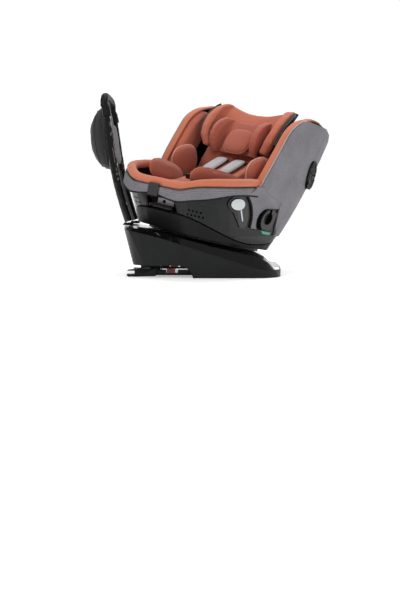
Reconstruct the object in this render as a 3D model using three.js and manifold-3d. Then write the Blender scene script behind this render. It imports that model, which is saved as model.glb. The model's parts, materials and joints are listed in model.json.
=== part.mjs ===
// Convertible child car seat on a swivelling base with rigid anchor arms and a rebound bar.
// Millimetres, +Z up. -X is the side that meets the vehicle's backrest, +X is the front of the vehicle.
// The origin is on the flat underside of the base, below the swivel axis.
// Everything that swivels is drawn in the seat's own frame: x forwards, y to the seat's right, z up the axis.
import * as THREE from 'three';
import { mergeVertices } from 'three/addons/utils/BufferGeometryUtils.js';
import Module from 'manifold-3d';

const wasm = await Module();
wasm.setup();

// ---------------------------------------------------------------- driving dimensions (mm, degrees)
const GAP = 0.5;
const SIDES = [['near', 1], ['far', -1]];

const AXIS_TILT = 13;
const SEAT_TURN = 51;
const PIVOT_HEIGHT = 104;
const DECK_LEVEL = 20;

const BASE = {
  left: -236, right: 272, half: 222, draft: 8, wall: 4,
  leftRadius: 75, rightRadius: 95, lean: 0.24, leanFrom: -150, leanTo: -215, leanHeight: 40,
  creaseHeight: 90.5, creaseSlope: -0.3154, toeHeight: 26,
  archHeight: 42, archLeft: -83, archRight: -30,
};
const DECK = { radius: 214, leftHeight: 172, rightDrop: 30, rightEnd: 250, skin: 4, bore: 150 };
const REAR_FOOT = { x: -182, length: 36, half: 70 };

const BAR = {
  footY: 138, radiusX: 13, radiusY: 11, coverWall: 3, coverEnd: 0.335,
  side: [[-252, 189], [-268, 238], [-285, 297], [-300, 362], [-314, 449], [-323, 521], [-331, 580]],
  topX: -337, topZ: 627, topRadius: 48, narrowing: [[189, 0], [449, 4], [580, 14], [627, 16]],
  slim: [[0, 1], [0.22, 1], [0.4, 0.74], [0.6, 0.74], [0.78, 1], [1, 1]],
};
const POUCH = { back: -390, front: -312, bottom: 366, top: 600, half: 104 };

const ARM = {
  y: 140, tip: -257, end: 104, width: 26, low: 5.2, high: 23,
  headEnd: -158, headHigh: 28, headWidth: 30,
};
const JAW = { depth: 27, low: 8.5, high: 20.5 };

const RECLINE = { x: 20, z: 600, shell: 556, cradle: 560, skin: 5 };

// Plan of the swivelling body at each height: how far it reaches forwards, backwards and sideways.
const BODY_FRONT = [[31, 214], [60, 230], [88, 246], [120, 268], [150, 291], [178, 302], [240, 305]];
const BODY_REAR = [
  [31, -194], [76, -203], [211, -247], [340, -292], [460, -334], [490, -340], [508, -322], [518, -285],
];
const BODY_HALF = [
  [31, 203], [80, 214], [130, 222], [178, 229], [240, 236], [330, 242], [460, 243], [518, 238],
];
const CORNER_FRONT = [[31, 130], [100, 140], [178, 152]];
const CORNER_REAR = [[31, 115], [120, 95], [340, 88], [518, 84]];
// Front edge of the side wings, seen from the side.
const WING_EDGE = [
  [180, 80], [211, 68], [280, 44], [342, 18], [400, -8],
  [440, -27], [470, -52], [495, -88], [510, -128], [518, -170],
];

const BACK = { lean: 22, x: -95, z: 297, top: 498, half: 190, foam: 34 };
const PAN = { step: 208, surface: 160, half: 180 };

const PANEL = { outer: 6 };
const PLATE = { low: DECK_LEVEL + 2, high: 30.5, radius: 200 };
// The lower shell ends and the back shell starts at SPLIT.
// In front of WING_ROOT the lower shell follows the rim.
const SPLIT = 178;
const WING_ROOT = 84;
const DISC = { x: 152, z: 166, wide: 33, tall: 19 };
const POD = { x: -212, y: 247, z: 330 };
const BELT_GUIDE = { x: -26, z: 136, width: 76, height: 80 };
// Rows of vent holes round each front corner: height, then the turn of each hole from straight ahead.
const VENTS = { rows: [[112, [17, 22.5, 28, 33.5]], [98, [14, 19.5, 25, 30.5, 36]]], radius: 3.6, depth: 80 };
const INSERT = {
  half: 92,
  top: [[-88, 322], [-56, 304], [0, 268], [60, 234], [120, 208], [170, 196], [216, 188]],
};
// Height of the padded rim's centre line, by its distance forwards.
const RIM_HEIGHT = [[40, 251], [110, 243], [175, 231], [228, 219], [266, 207], [285, 195], [296, 180]];
const RIM_INSET = 7;
const RIM_LOW = 18.5;

// Wings of the headrest keep a straight piece in front of their corner, and the corner is never tighter.
const HEAD = {
  proud: 8, straight: 10, tightest: 8, dip: 32, dipFrom: 420, dipTo: 546, span: 160,
  half: [[352, 146], [400, 164], [470, 172], [520, 170], [548, 158]],
  edge: [[352, -46], [400, -36], [440, -44], [480, -64], [515, -96], [536, -126], [546, -148]],
  innerEdge: [[342, -58], [362, -36], [395, -24], [430, -30], [462, -50], [484, -78], [494, -96]],
};

const LOOKS = {
  blackPlastic: [0x1c1c1e, 0.38, 0],
  glossPlastic: [0x131315, 0.16, 0],
  darkFabric: [0x1a1a1c, 0.9, 0],
  orangeFabric: [0xc46a55, 0.85, 0],
  greyFabric: [0x808086, 0.9, 0],
  paleFabric: [0xc4c4c8, 0.85, 0],
  silver: [0xc6cbcc, 0.35, 0.4],
  steel: [0x8d9094, 0.35, 1],
  green: [0x3f8f70, 0.4, 0],
  red: [0x7c2130, 0.4, 0],
};

// ---------------------------------------------------------------- small tools
const rad = THREE.MathUtils.degToRad;
const clamp = THREE.MathUtils.clamp;

/** Smooth curve through [key, value] pairs, flat beyond both ends. */
function along(table, key) {
  const last = table.length - 1;
  if (key <= table[0][0]) return table[0][1];
  if (key >= table[last][0]) return table[last][1];
  const i = table.findIndex((pair) => pair[0] > key) - 1;
  const slope = (k) => {
    const a = table[Math.max(k - 1, 0)];
    const b = table[Math.min(k + 1, last)];
    return (b[1] - a[1]) / (b[0] - a[0]);
  };
  const [x0, y0] = table[i];
  const [x1, y1] = table[i + 1];
  const width = x1 - x0;
  const t = (key - x0) / width;
  const t2 = t * t;
  const t3 = t2 * t;
  return (2 * t3 - 3 * t2 + 1) * y0 + (t3 - 2 * t2 + t) * width * slope(i)
    + (3 * t2 - 2 * t3) * y1 + (t3 - t2) * width * slope(i + 1);
}

function steps(from, to, count) {
  return Array.from({ length: count + 1 }, (_, i) => from + ((to - from) * i) / count);
}

function signedVolume(positions, index) {
  let total = 0;
  const corner = [new THREE.Vector3(), new THREE.Vector3(), new THREE.Vector3()];
  for (let i = 0; i < index.length; i += 3) {
    corner.forEach((v, k) => v.fromArray(positions, index[i + k] * 3));
    total += corner[0].dot(corner[1].cross(corner[2]));
  }
  return total;
}

/** Closed solid through rings of equal length. Cap 'fan' suits rounded rings, 'strip' suits U-shaped ones. */
function loft(rings, cap = 'fan') {
  const count = rings[0].length;
  const positions = rings.flat(2);
  const index = [];
  for (let r = 0; r + 1 < rings.length; r += 1) {
    for (let i = 0; i < count; i += 1) {
      const j = (i + 1) % count;
      const a = r * count;
      const b = a + count;
      index.push(a + i, a + j, b + j, a + i, b + j, b + i);
    }
  }
  [[0, true], [(rings.length - 1) * count, false]].forEach(([start, flip]) => {
    const face = (a, b, c) => (flip ? index.push(c, b, a) : index.push(a, b, c));
    if (cap === 'strip') {
      for (let i = 0; i + 1 < count / 2; i += 1) {
        const k = count - 1 - i;
        face(start + i, start + i + 1, start + k - 1);
        face(start + i, start + k - 1, start + k);
      }
      return;
    }
    const middle = [0, 0, 0];
    for (let i = 0; i < count; i += 1) {
      middle.forEach((_, k) => { middle[k] += positions[(start + i) * 3 + k] / count; });
    }
    positions.push(...middle);
    const centre = positions.length / 3 - 1;
    for (let i = 0; i < count; i += 1) face(start + i, start + ((i + 1) % count), centre);
  });
  if (signedVolume(positions, index) < 0) {
    for (let i = 0; i < index.length; i += 3) [index[i], index[i + 1]] = [index[i + 1], index[i]];
  }
  const geometry = new THREE.BufferGeometry();
  geometry.setAttribute('position', new THREE.Float32BufferAttribute(positions, 3));
  geometry.setIndex(index);
  return geometry;
}

function toSolid(geometry) {
  if (geometry.userData.solid) return geometry.userData.solid;
  const bare = geometry.clone();
  bare.deleteAttribute('normal');
  bare.deleteAttribute('uv');
  const welded = mergeVertices(bare, 1e-4);
  return new wasm.Manifold(new wasm.Mesh({
    numProp: 3,
    vertProperties: new Float32Array(welded.attributes.position.array),
    triVerts: new Uint32Array(welded.index.array),
  }));
}

function fromSolid(solid) {
  const mesh = solid.getMesh();
  const geometry = new THREE.BufferGeometry();
  geometry.setAttribute('position', new THREE.BufferAttribute(mesh.vertProperties, 3));
  geometry.setIndex(new THREE.BufferAttribute(mesh.triVerts, 1));
  geometry.userData.solid = solid;
  return geometry;
}

const cut = (geometry, ...tools) => fromSolid(
  tools.reduce((left, tool) => left.subtract(toSolid(tool)), toSolid(geometry)),
);
const join = (geometry, ...more) => fromSolid(
  more.reduce((whole, one) => whole.add(toSolid(one)), toSolid(geometry)),
);
const common = (a, b) => fromSolid(toSolid(a).intersect(toSolid(b)));

/** Box between two corners. */
function block([x0, y0, z0], [x1, y1, z1]) {
  return new THREE.BoxGeometry(x1 - x0, y1 - y0, z1 - z0)
    .translate((x0 + x1) / 2, (y0 + y1) / 2, (z0 + z1) / 2);
}

/** Cylinder standing on z = low. */
function drum(radius, low, high, sides = 48) {
  return new THREE.CylinderGeometry(radius, radius, high - low, sides)
    .rotateX(Math.PI / 2).translate(0, 0, (low + high) / 2);
}

/** Outline in x and z, extruded from y0 to y1. */
function sidePlate(points, y0, y1) {
  const shape = new THREE.Shape(points.map(([x, z]) => new THREE.Vector2(x, z)));
  return new THREE.ExtrudeGeometry(shape, { depth: y1 - y0, bevelEnabled: false })
    .rotateX(Math.PI / 2).translate(0, y1, 0);
}

/** Padded block: a box with rounded, swelling faces, centred on its own origin. */
function pad(length, width, thickness, power = 3.2, around = 16, rows = 8) {
  const round = (value, half) => Math.sign(value) * Math.abs(value) ** (2 / power) * half;
  const rings = [];
  for (let r = 1; r < rows; r += 1) {
    const tilt = (Math.PI * r) / rows - Math.PI / 2;
    rings.push(Array.from({ length: around }, (_, i) => {
      const turn = (2 * Math.PI * i) / around;
      const reach = Math.abs(Math.cos(tilt)) ** (2 / power);
      return [
        round(Math.cos(turn), length / 2) * reach,
        round(Math.sin(turn), width / 2) * reach,
        round(Math.sin(tilt), thickness / 2),
      ];
    }));
  }
  return loft(rings);
}

/** Flat strip of webbing or a plate that follows a curve; `across` is the direction of its width. */
function ribbon(points, width, thickness, across, count) {
  const curve = new THREE.CatmullRomCurve3(points.map((p) => new THREE.Vector3(...p)), false, 'centripetal');
  const side = new THREE.Vector3(...across).normalize();
  return loft(steps(0, 1, count).map((t) => {
    const at = curve.getPointAt(t);
    const up = curve.getTangentAt(t).cross(side).normalize();
    return [[1, 1], [-1, 1], [-1, -1], [1, -1]].map(([s, u]) => at.clone()
      .addScaledVector(side, (s * width) / 2).addScaledVector(up, (u * thickness) / 2).toArray());
  }));
}

function mesh(parent, name, geometry, look) {
  const [color, roughness, metalness] = LOOKS[look];
  const piece = new THREE.Mesh(geometry, new THREE.MeshStandardMaterial({ color, roughness, metalness }));
  piece.name = name;
  parent.add(piece);
  return piece;
}

// ---------------------------------------------------------------- frames
const carSeat = new THREE.Group();
const tilted = new THREE.Group();
tilted.position.set(0, 0, PIVOT_HEIGHT);
tilted.rotation.y = rad(AXIS_TILT);
const seat = new THREE.Group();
seat.rotation.z = rad(180 + SEAT_TURN);
carSeat.add(tilted);
tilted.add(seat);

// ---------------------------------------------------------------- base
const creaseAt = (x) => Math.max(BASE.creaseHeight + BASE.creaseSlope * x, BASE.toeHeight);

/** Half-width in plan, rounded off at both ends. */
function baseHalf(x, inset = 0) {
  const corner = (reach, radius) => {
    const into = clamp(radius - inset - (reach - inset), 0, radius - inset);
    return radius - inset - Math.sqrt((radius - inset) ** 2 - into ** 2);
  };
  const left = corner(x - BASE.left, BASE.leftRadius);
  const right = corner(BASE.right - x, BASE.rightRadius);
  return BASE.half - inset - left - right;
}

function archAt(x) {
  const t = clamp((x - BASE.archLeft) / (BASE.archRight - BASE.archLeft), 0, 1);
  return BASE.archHeight * Math.sqrt(1 - t * t);
}

/** The end wall at the anchor side leans outwards towards its top. */
function leaned(x, z) {
  const amount = clamp((BASE.leanFrom - x) / (BASE.leanFrom - BASE.leanTo), 0, 1);
  return x - BASE.lean * (z - BASE.leanHeight) * amount;
}

/** Height of the flat deck under the seat; it falls away to the toe. */
function deckAt(x) {
  const slope = Math.tan(rad(AXIS_TILT));
  const plane = (at) => PIVOT_HEIGHT + DECK_LEVEL / Math.cos(rad(AXIS_TILT)) - slope * at;
  return along([
    [BASE.left, DECK.leftHeight + 3], [-DECK.radius, plane(-DECK.radius)], [-100, plane(-100)],
    [0, plane(0)], [100, plane(100)], [DECK.radius - 14, plane(DECK.radius - 14)],
    [228, DECK.rightDrop + 26], [DECK.rightEnd, DECK.rightDrop + 4],
  ], x);
}

function baseStations(inset) {
  const left = BASE.left + inset;
  const right = BASE.right - inset;
  const leftArc = [0, 0.13, 0.3, 0.5, 0.75, 1].map((t) => left + (BASE.leftRadius - inset) * t * t);
  const rightArc = [1, 0.75, 0.5, 0.3, 0.13, 0].map((t) => right - (BASE.rightRadius - inset) * t * t);
  const middle = [-120, -83.5, -70, -56, -44, -35, -29.5, 20, 90, 140];
  return [...leftArc, ...middle, ...rightArc];
}

function housingShape(inset, roof) {
  return loft(baseStations(inset).map((x) => {
    const half = baseHalf(x, inset);
    const low = archAt(x) + inset;
    const high = creaseAt(x) + roof;
    const foot = half - BASE.draft;
    return [[foot, low], [half, high], [-half, high], [-foot, low]].map(([y, z]) => [leaned(x, z), y, z]);
  }));
}

function baseHousing() {
  const foot = block([REAR_FOOT.x, -REAR_FOOT.half, 0], [REAR_FOOT.x + REAR_FOOT.length, REAR_FOOT.half, 44]);
  const slots = SIDES.map(([, s]) => {
    const [y0, y1] = [s * ARM.y - 17, s * ARM.y + 17];
    return block([-110, y0, 4.2], [-12, y1, 31]);
  });
  return cut(join(cut(housingShape(0, 0), housingShape(BASE.wall, 60)), foot), ...slots);
}

function baseDeck() {
  const stations = baseStations(GAP);
  const section = (x, skin) => {
    const half = baseHalf(x, 1) - skin;
    const low = creaseAt(x) + GAP;
    const high = Math.max(deckAt(x), low + 5) - skin;
    const flat = Math.min(Math.sqrt(Math.max(DECK.radius ** 2 - x * x, 0)) * 0.93, half - 12);
    const shelf = Math.max(flat, half * 0.62) - skin * 0.6;
    const bend = half - (half - shelf) * 0.3;
    const rise = low + (high - low) * 0.72;
    return [[half, low], [bend, rise], [shelf, high], [shelf / 2, high], [-shelf / 2, high], [-shelf, high],
      [-bend, rise], [-half, low]].map(([y, z]) => [leaned(x, z), y, z]);
  };
  const shell = loft(stations.map((x) => [...section(x, 0), ...section(x, DECK.skin).reverse()]), 'strip');
  const hole = drum(DECK.bore, -90, 60);
  hole.applyMatrix4(new THREE.Matrix4().makeRotationY(rad(AXIS_TILT)));
  hole.translate(0, 0, PIVOT_HEIGHT);
  return cut(shell, hole);
}

// ---------------------------------------------------------------- rebound bar
function barPath() {
  const foot = -BAR.footY;
  const leg = BAR.side.map(([x, z]) => new THREE.Vector3(x, foot + along(BAR.narrowing, z), z));
  const shoulder = foot + along(BAR.narrowing, BAR.topZ);
  const bend = [[0, 0.28], [0.13, 0.66], [0.45, 0.9], [1, 1]].map(([inward, up]) => new THREE.Vector3(
    BAR.topX, shoulder + BAR.topRadius * inward, BAR.topZ - BAR.topRadius * (1 - up),
  ));
  const half = [...leg, ...bend];
  const mirrored = half.map((p) => new THREE.Vector3(p.x, -p.y, p.z)).reverse();
  return new THREE.CatmullRomCurve3([...half, ...mirrored], false, 'centripetal');
}

function oval(rx, ry, count) {
  return Array.from({ length: count }, (_, i) => {
    const turn = (2 * Math.PI * i) / count;
    return [Math.cos(turn) * rx, Math.sin(turn) * ry];
  });
}

/** Oval section swept along part of the bar. With a wall it is a sleeve, without one it is solid. */
function barPiece(from, to, count, radiusX, radiusY, wall) {
  const curve = barPath();
  const frameAt = (t) => {
    const at = curve.getPointAt(t);
    const tangent = curve.getTangentAt(t);
    const across = new THREE.Vector3(1, 0, 0).addScaledVector(tangent, -tangent.x).normalize();
    return { at, across, up: tangent.clone().cross(across) };
  };
  const ring = (t, rx, ry) => {
    const { at, across, up } = frameAt(t);
    const thinner = (1 - along(BAR.slim, t)) * BAR.radiusX;
    return oval(rx - thinner, ry - thinner, 12).map(([u, v]) => at.clone()
      .addScaledVector(across, u).addScaledVector(up, v).toArray());
  };
  const tube = (rx, ry, spread) => loft([from - spread, ...steps(from, to, count), to + spread]
    .slice(spread ? 0 : 1, spread ? undefined : -1).map((t) => ring(clamp(t, 0, 1), rx, ry)));
  const outer = tube(radiusX, radiusY, 0);
  return wall ? cut(outer, tube(radiusX - wall, radiusY - wall, 0.01)) : outer;
}

// ---------------------------------------------------------------- anchor arms
function anchorArm(s) {
  const y = s * ARM.y;
  const half = ARM.width / 2;
  const headHalf = ARM.headWidth / 2;
  const rail = block([ARM.headEnd - 5, y - half, ARM.low], [ARM.end, y + half, ARM.high]);
  const head = sidePlate([
    [ARM.tip, 20], [ARM.tip + 4, 23], [ARM.tip + 40, ARM.headHigh], [ARM.headEnd, ARM.headHigh],
    [ARM.headEnd, 2], [ARM.tip + 30, 0.6], [ARM.tip + 6, 0.6], [ARM.tip, 5],
  ], y - headHalf, y + headHalf);
  const past = headHalf + 5;
  const mouth = block([ARM.tip - 5, y - past, JAW.low], [ARM.tip + JAW.depth, y + past, JAW.high]);
  const latchSlot = block([ARM.tip + 2, y - 5, 1.8], [ARM.tip + 62, y + 5, ARM.headHigh + 5]);
  const buttonSlot = block([-122, y - half - 5, 12], [-82, y + half + 5, ARM.high + 5]);
  return cut(join(rail, head), mouth, latchSlot, buttonSlot);
}

/** Hook that turns up into the jaw round the car's anchor bar; drawn open. */
function latch(s) {
  const y = s * ARM.y;
  return sidePlate([
    [-241, 6.5], [-241, 3.5], [-213, 3.5], [-204, 8], [-203, 18], [-208, 22.5], [-222, 22.5],
    [-226, 18], [-227, 10], [-236, 7.5],
  ], y - 3.5, y + 3.5);
}

// ---------------------------------------------------------------- swivelling body
function planShape(z, inset) {
  return {
    front: along(BODY_FRONT, z) - inset,
    rear: along(BODY_REAR, z) + inset,
    half: along(BODY_HALF, z) - inset,
    frontRadius: along(CORNER_FRONT, z) - inset,
    rearRadius: along(CORNER_REAR, z) - inset,
  };
}

/** Half of a rounded plan, from the front centre round one side to the rear centre. */
function halfPlan(z, inset) {
  const { front, rear, half, frontRadius, rearRadius } = planShape(z, inset);
  const points = [[front, 0]];
  steps(0, 90, 6).forEach((turn) => {
    const [c, s] = [Math.cos(rad(turn)), Math.sin(rad(turn))];
    points.push([front - frontRadius + frontRadius * c, half - frontRadius + frontRadius * s]);
  });
  steps(90, 180, 5).forEach((turn) => {
    const [c, s] = [Math.cos(rad(turn)), Math.sin(rad(turn))];
    points.push([rear + rearRadius + rearRadius * c, half - rearRadius + rearRadius * s]);
  });
  points.push([rear, 0]);
  return points;
}

function planRing(z, inset) {
  const near = halfPlan(z, inset);
  const far = near.slice(1, -1).reverse().map(([x, y]) => [x, -y]);
  return [...near, ...far].map(([x, y]) => [x, y, z]);
}

/** U-shaped wall of the back, open to the front: outer face at one inset, inner face at another. */
function wallRing(z, edge, outset, inset) {
  const half = (amount) => {
    const { rear, half: wide, rearRadius: radius } = planShape(z, amount);
    const points = steps(edge, rear + radius, 3).slice(0, 3).map((x) => [x, wide]);
    steps(90, 180, 5).forEach((turn) => {
      const [c, s] = [Math.cos(rad(turn)), Math.sin(rad(turn))];
      points.push([rear + radius + radius * c, wide - radius + radius * s]);
    });
    points.push([rear, 0]);
    return points;
  };
  const whole = (amount) => {
    const near = half(amount);
    return [...near, ...near.slice(0, -1).reverse().map(([x, y]) => [x, -y])].map(([x, y]) => [x, y, z]);
  };
  return [...whole(outset), ...whole(inset).reverse()];
}

/** Everything closer than `radius` to the recline axis, as a wide prism. */
function reclineDrum(radius) {
  const arc = steps(-38, 38, 26).map((turn) => [
    RECLINE.x + radius * Math.sin(rad(turn)), RECLINE.z - radius * Math.cos(rad(turn)),
  ]);
  return sidePlate([...arc, [420, 700], [-420, 700]], -300, 300);
}

/** Everything above the lower shell's top edge, which follows the rim and steps down behind the wings. */
function aboveShell() {
  const edge = steps(WING_ROOT, 296, 14).map((x) => [x, along(RIM_HEIGHT, x) - RIM_LOW]);
  return sidePlate([[-400, SPLIT], [WING_ROOT - 1, SPLIT], ...edge, [400, edge[edge.length - 1][1]],
    [400, 400], [-400, 400]], -300, 300);
}

function lowerShell() {
  const levels = [31, 60, 88, 120, 150, 178, 205, 240];
  const outer = common(loft(levels.map((z) => planRing(z, 0))), reclineDrum(RECLINE.shell));
  const inside = loft([...levels.slice(0, -1), 260].map((z) => planRing(z, RECLINE.skin)));
  const opening = block([230, -66, 94], [340, 66, 137]);
  const vents = VENTS.rows.flatMap(([z, turns]) => turns.flatMap((turn) => SIDES.map(([, s]) => {
    const { front, half, frontRadius } = planShape(z, 0);
    return new THREE.CylinderGeometry(VENTS.radius, VENTS.radius, VENTS.depth, 10)
      .rotateZ(rad(90)).translate(frontRadius, 0, 0)
      .rotateZ(rad(turn) * s).translate(front - frontRadius, s * (half - frontRadius), z);
  })));
  const hollow = common(inside, reclineDrum(RECLINE.shell - RECLINE.skin));
  return cut(outer, hollow, aboveShell(), opening, ...vents);
}

function reclineCradle() {
  const levels = [31, 45, 60, 88, 110];
  const body = loft(levels.map((z) => planRing(z, 0)));
  const trimmed = cut(body, reclineDrum(RECLINE.cradle));
  const hollow = loft([44, 60, 88].map((z) => planRing(z, 14)));
  return cut(trimmed, hollow);
}

function backShell() {
  const levels = [SPLIT + GAP, 205, 240, 280, 342, 400, 440, 470, 495, 510, 518];
  return loft(levels.map((z) => wallRing(z, along(WING_EDGE, z), 0, 4)), 'strip');
}

/** Side panel skin on the outside of the wing, from a front edge round the rear corner. */
function sidePanel(s) {
  const levels = [88, 120, 150, 178, 205, 240, 280, 342, 400, 440, 470, 495, 510];
  const section = (z, inset) => {
    const { rear, half, rearRadius: radius } = planShape(z, inset);
    const lowEdge = along([[88, -118], [120, -100], [178, -86], [204, -82]], z);
    const edge = z > 205 ? along(WING_EDGE, z) : lowEdge;
    const points = steps(edge, rear + radius, 3).slice(0, 3).map((x) => [x, half]);
    steps(90, 162, 4).forEach((turn) => {
      const [c, t] = [Math.cos(rad(turn)), Math.sin(rad(turn))];
      points.push([rear + radius + radius * c, half - radius + radius * t]);
    });
    return points.map(([x, y]) => [x, s * y, z]);
  };
  return loft(levels.map((z) => [...section(z, -PANEL.outer), ...section(z, -GAP).reverse()]), 'strip');
}

/** Padded inner face of a wing, with a rounded front edge. */
function wingPad(s) {
  const levels = [236, 280, 342, 400, 440, 470, 492];
  return loft(levels.map((z) => {
    const outer = along(BODY_HALF, z) - 4 - GAP;
    const edge = along(WING_EDGE, z) - 3;
    const thick = along([[236, 30], [342, 36], [492, 30]], z);
    const deep = edge - along([[236, 118], [342, 120], [440, 120], [492, 62]], z);
    return [
      [edge - 2, outer], [edge + 1, outer - thick * 0.3], [edge - 6, outer - thick * 0.75],
      [edge - 24, outer - thick], [(edge + deep) / 2, outer - thick], [deep, outer - thick * 0.8],
      [deep, outer], [(edge + deep) / 2, outer],
    ].map(([x, y]) => [x, s * y, z]);
  }));
}

// ---------------------------------------------------------------- rim round the seat pan
/** Centre line of the padded rim, from one wing round the front to the other. */
function rimPath() {
  const round = halfPlan(200, RIM_INSET).filter(([x]) => x > 110).reverse();
  const plan = [[WING_ROOT - 18, round[0][1]], [WING_ROOT + 12, round[0][1]], ...round];
  const near = plan.map(([x, y]) => new THREE.Vector3(x, y, along(RIM_HEIGHT, x)));
  const far = near.slice(0, -1).reverse().map((p) => new THREE.Vector3(p.x, -p.y, p.z));
  return new THREE.CatmullRomCurve3([...near, ...far], false, 'centripetal');
}

/** Closed band along the rim: the section is given outwards from the centre line and up. */
function rimBand(section, count) {
  const curve = rimPath();
  return loft(steps(0, 1, count).map((t) => {
    const at = curve.getPointAt(t);
    const tangent = curve.getTangentAt(t);
    const out = new THREE.Vector3(-tangent.y, tangent.x, 0).normalize().multiplyScalar(-1);
    if (out.dot(new THREE.Vector3(at.x - 60, at.y, 0)) < 0) out.multiplyScalar(-1);
    return section(t).map(([u, v]) => [at.x + out.x * u, at.y + out.y * u, at.z + v]);
  }));
}

const rimBolster = () => rimBand(() => [
  [14, -12], [17, 0], [13, 12], [0, 17], [-13, 13], [-18, 0], [-14, -12], [0, -13],
], 30);
const rimSkirt = () => rimBand((t) => {
  const fromSide = Math.min(t, 1 - t) * 2;
  const drop = along([[0, -40], [0.3, -38], [0.55, -54], [0.8, -48], [1, -36]], fromSide);
  return [[15, -13.6], [17, -20], [17, drop], [11, drop], [11, -13.6]];
}, 36);

// ---------------------------------------------------------------- inner shell and soft goods
const backAt = (z) => BACK.x - (z - BACK.z) * Math.tan(rad(BACK.lean));

/** Slab that follows the backrest and turns into the pan, seen from the side and extruded sideways. */
function backrestSlab(from, to, behind, thick, half) {
  return sidePlate([
    [backAt(from) - behind, from], [backAt(to) - behind, to],
    [backAt(to) - behind - thick, to], [backAt(from) - behind - thick, from],
  ], -half, half);
}

/** Puts a flat pad against the backrest at a height and a side distance, standing `proud` of it. */
function onBackrest(piece, z, y, proud, twist = 0) {
  piece.position.set(backAt(z) + proud * Math.cos(rad(BACK.lean)), y, z + proud * Math.sin(rad(BACK.lean)));
  piece.rotation.set(0, rad(BACK.lean - 90) * -1 + Math.PI, twist, 'YXZ');
}

/** Shell or pad of the headrest: U-shaped, open to the front. Its top dips between the two wings. */
function headShape(levels, half, [side, back], behind, edge, roundest = 70) {
  return loft(levels.map((z) => {
    const middle = backAt(z) + HEAD.proud - behind;
    const radius = Math.min(roundest, edge(z) - middle - HEAD.straight);
    const sag = HEAD.dip * clamp((z - HEAD.dipFrom) / (HEAD.dipTo - HEAD.dipFrom), 0, 1);
    const wall = (inset, depth, tip) => {
      const [wide, bend] = [half(z) - inset, Math.max(radius - inset, HEAD.tightest)];
      const [front, turnIn] = [edge(z) - tip, middle + depth + bend];
      const points = [[front, wide], [(front + turnIn) / 2, wide]];
      steps(90, 180, 4).forEach((turn) => {
        const [c, s] = [Math.cos(rad(turn)), Math.sin(rad(turn))];
        points.push([turnIn + bend * c, wide - bend + bend * s]);
      });
      points.push([middle + depth, wide * 0.36], [middle + depth, 0]);
      const mirrored = points.slice(0, -1).reverse().map(([x, y]) => [x, -y]);
      return [...points, ...mirrored].map(([x, y]) => {
        const drop = sag * Math.max(1 - (y / HEAD.span) ** 2, 0);
        return [x + drop * Math.tan(rad(BACK.lean)), y, z - drop];
      });
    };
    return [...wall(0, 0, 4), ...wall(side, back, 0).reverse()];
  }), 'strip');
}

const headEdge = (z) => along(HEAD.edge, z);
const headPad = () => headShape([360, 400, 440, 480, 515, 536, 546], (z) => along(HEAD.half, z),
  [30, 19], 2, headEdge);
const headShell = () => headShape([360, 400, 440, 480, 515, 536], (z) => along(HEAD.half, z) + 5,
  [4, 4], 6.5, (z) => headEdge(z) - 26, 74.5);
const headInsert = () => headShape([342, 362, 385, 410, 440, 465, 484, 494], () => 106,
  [25, 14], -18.5, (z) => along(HEAD.innerEdge, z), 48);

/** Upper face of the infant insert: it leads the child's back down from the shoulders to the pan. */
const insertTop = (x) => along(INSERT.top, x);

/** Infant insert: one padded wedge between the backrest and the pan. */
function bodyInsert() {
  const top = INSERT.top.map(([x, z]) => [x, z]);
  const last = top[top.length - 1];
  const under = [[last[0], PAN.surface + GAP], [-12, PAN.surface + GAP]];
  const behind = [186, 250, INSERT.top[0][1]].map((z) => [backAt(z) + GAP, z]);
  return sidePlate([...top, ...under, ...behind], -INSERT.half, INSERT.half);
}

/** Puts a flat piece on the infant insert, `over` above it. */
function onInsert(piece, x, y, over) {
  const slope = Math.atan2(insertTop(x - 10) - insertTop(x + 10), 20);
  piece.position.set(x + over * Math.sin(slope), y, insertTop(x) + over * Math.cos(slope));
  piece.rotation.y = slope;
}

/** Patch of a skin that follows the swivelling body's outside, cut to an outline seen from the side. */
function bodyPatch(s, outline, from, to) {
  const levels = [60, 88, 120, 150, 178, 205];
  const outside = loft(levels.map((z) => planRing(z, -to)));
  const skin = cut(outside, loft([50, ...levels, 215].map((z) => planRing(z, -from))));
  return common(skin, sidePlate(outline, ...(s > 0 ? [120, 320] : [-320, -120])));
}

const circle = (x, z, radius, sides = 20) => oval(radius, radius, sides).map(([u, v]) => [x + u, z + v]);
const TEARDROP = [
  ...steps(110, -80, 12).map((turn) => [
    DISC.x + 43 * Math.cos(rad(turn)), DISC.z + 28 * Math.sin(rad(turn)),
  ]),
  [100, 92], [78, 92], [68, 104], [74, 132], [100, 172],
];

// ---------------------------------------------------------------- assembly
const named = (kind, side) => `${kind}_${side}`;

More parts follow.
